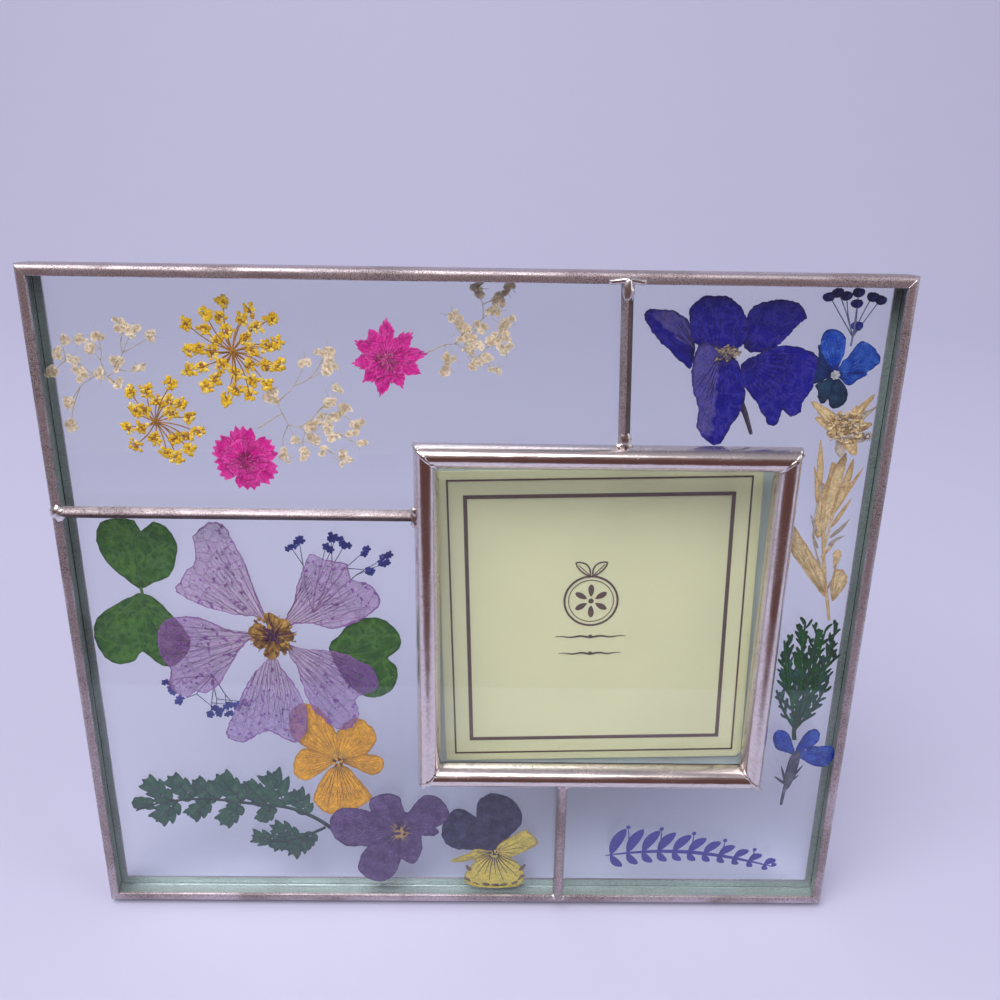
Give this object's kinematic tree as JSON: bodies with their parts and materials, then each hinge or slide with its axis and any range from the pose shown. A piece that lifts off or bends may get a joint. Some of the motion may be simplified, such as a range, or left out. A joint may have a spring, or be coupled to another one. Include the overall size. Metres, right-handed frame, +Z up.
{
  "type": "pressed flower frame",
  "caption": "Free-standing glass frame with pressed flowers between two panes, a square photo window and a hinged easel leg.",
  "frame": {"origin": "centre of the bounding box seen from above, on the surface the frame stands on", "axes": "+Z up; +X along the frame's width, to the right seen from the front; +Y from the glass's front towards the leg"},
  "size_m": [0.1524, 0.0531, 0.1298],
  "materials": {
    "tin_came": "satin soldered tin came, slightly grainy",
    "polished_bezel": "polished silver with a warm cast",
    "clear_glass": "clear float glass",
    "printed_card": "pale cream card, printed",
    "backing_board": "black covered board",
    "hinge_steel": "plain steel",
    "mallow_petal": "dried translucent mauve petal",
    "dried_heart": "dried golden brown flower centre",
    "green_leaf": "dried green leaf",
    "blue_green_leaf": "dried grey-green leaf",
    "ultramarine_petal": "dried ultramarine petal",
    "cobalt_petal": "dried cobalt blue petal",
    "golden_petal": "dried golden yellow petal",
    "plum_petal": "dried dark purple petal",
    "navy_petal": "dried navy petal",
    "lemon_petal": "dried lemon petal with dark rays",
    "straw": "dried straw-coloured stem and bracts",
    "yellow_umbel": "dried yellow umbel",
    "magenta_petal": "dried magenta petal",
    "cream_blossom": "dried cream blossoms"
  },
  "bodies": {
    "frame": {"babys_breath_left": "cream_blossom", "babys_breath_middle": "cream_blossom", "babys_breath_right": "cream_blossom", "backing_board": "backing_board", "backing_channel_bottom": "tin_came", "backing_channel_left": "tin_came", "backing_channel_right": "tin_came", "bezel_bottom": "polished_bezel", "bezel_left": "polished_bezel", "bezel_right": "polished_bezel", "bezel_top": "polished_bezel", "blue_florets_lower": "cobalt_petal", "blue_florets_upper": "cobalt_petal", "bud_spray": "ultramarine_petal", "divider_bottom": "tin_came", "divider_left": "tin_came", "divider_top": "tin_came", "fern_frond": "green_leaf", "front_glass": "clear_glass", "golden_viola_lower": "golden_petal", "golden_viola_upper": "golden_petal", "heart_leaf_lower": "green_leaf", "heart_leaf_right": "green_leaf", "heart_leaf_upper": "green_leaf", "hinge_bracket": "hinge_steel", "hinge_pin": "hinge_steel", "larkspur_petal_left": "ultramarine_petal", "larkspur_petal_long": "ultramarine_petal", "larkspur_petal_ragged": "ultramarine_petal", "larkspur_petal_right": "ultramarine_petal", "larkspur_petal_top": "ultramarine_petal", "larkspur_spur": "plum_petal", "lobelia": "cobalt_petal", "mallow_heart": "dried_heart", "mallow_petal_left": "mallow_petal", "mallow_petal_low": "mallow_petal", "mallow_petal_low_right": "mallow_petal", "mallow_petal_upper_left": "mallow_petal", "mallow_petal_upper_right": "mallow_petal", "navy_viola_lower": "lemon_petal", "navy_viola_upper": "navy_petal", "parsley_leaf": "blue_green_leaf", "photo_card": "printed_card", "pink_flower_lower": "magenta_petal", "pink_flower_upper": "magenta_petal", "plum_viola": "plum_petal", "rear_glass": "clear_glass", "rim_bottom": "tin_came", "rim_left": "tin_came", "rim_right": "tin_came", "rim_top": "tin_came", "small_larkspur": "cobalt_petal", "straw_flower_head": "straw", "straw_leaf_long": "straw", "straw_leaf_torn": "straw", "straw_stem": "straw", "umbel_large": "yellow_umbel", "umbel_small": "yellow_umbel"},
    "leg": {"easel_leg": "backing_board"}
  },
  "joints": [
    {"name": "leg_hinge", "type": "hinge", "parent": "frame", "child": "leg", "pos_m": [0.0249, 0.00438, 0.0848], "axis": [1, 0, 0], "range_deg": [-26, 0]}
  ]
}
